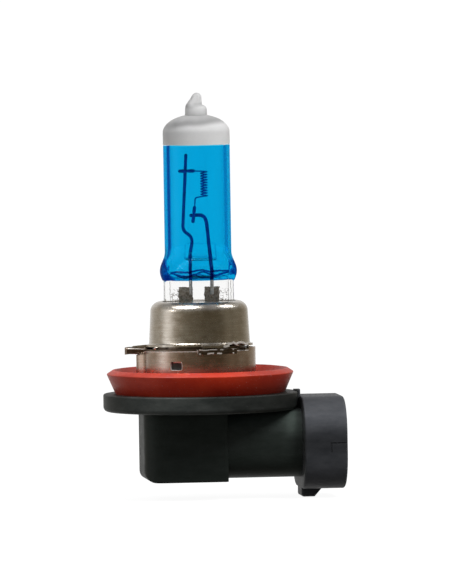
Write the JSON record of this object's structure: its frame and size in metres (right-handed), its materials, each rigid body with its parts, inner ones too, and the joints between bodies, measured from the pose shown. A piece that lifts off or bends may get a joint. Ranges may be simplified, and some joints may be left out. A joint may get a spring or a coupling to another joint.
{
  "type": "halogen headlight bulb",
  "caption": "Single-filament halogen headlight bulb: blue-coated quartz tube with a grey cap coat, twist-lock metal base with a red seal, and a right-angle plug socket.",
  "frame": {"origin": "on the bulb's axis, in the plane of the lugs' undersides, which seats in the lamp", "axes": "+Z along the bulb's axis towards the glass tip, +X towards the mouth of the plug socket, +Y completes the right-handed frame"},
  "size_m": [0.0397, 0.0324, 0.0676],
  "materials": {
    "quartz_glass": "clear polished quartz",
    "blue_coat": "clear blue interference coat",
    "cap_coat": "satin grey heat-proof paint",
    "tungsten": "drawn tungsten wire",
    "molybdenum": "drawn molybdenum",
    "seal_foil": "thin dark molybdenum foil",
    "stainless_sheet": "drawn stainless sheet with a fine grain",
    "weld_steel": "bright spot welds",
    "red_silicone": "satin red silicone rubber",
    "black_plastic": "glass-filled plastic with a fine moulded grain",
    "tinned_brass": "tin-plated brass"
  },
  "bodies": {
    "root": {"glass_envelope": "quartz_glass", "blue_coating": "blue_coat", "cap_coating": "cap_coat", "filament": "tungsten", "long_support_wire": "molybdenum", "short_support_wire": "molybdenum", "upper_crossbar": "molybdenum", "lower_crossbar": "molybdenum", "quartz_bridge": "quartz_glass", "left_foil": "seal_foil", "right_foil": "seal_foil", "left_outer_pin": "molybdenum", "right_outer_pin": "molybdenum", "pinch_clamp": "stainless_sheet", "upper_shell": "stainless_sheet", "shell_welds": "weld_steel", "lug_ring": "stainless_sheet", "base_ring": "stainless_sheet", "seal_ring": "red_silicone", "socket_housing": "black_plastic", "left_terminal": "tinned_brass", "right_terminal": "tinned_brass", "rear_cover": "black_plastic"}
  },
  "joints": []
}
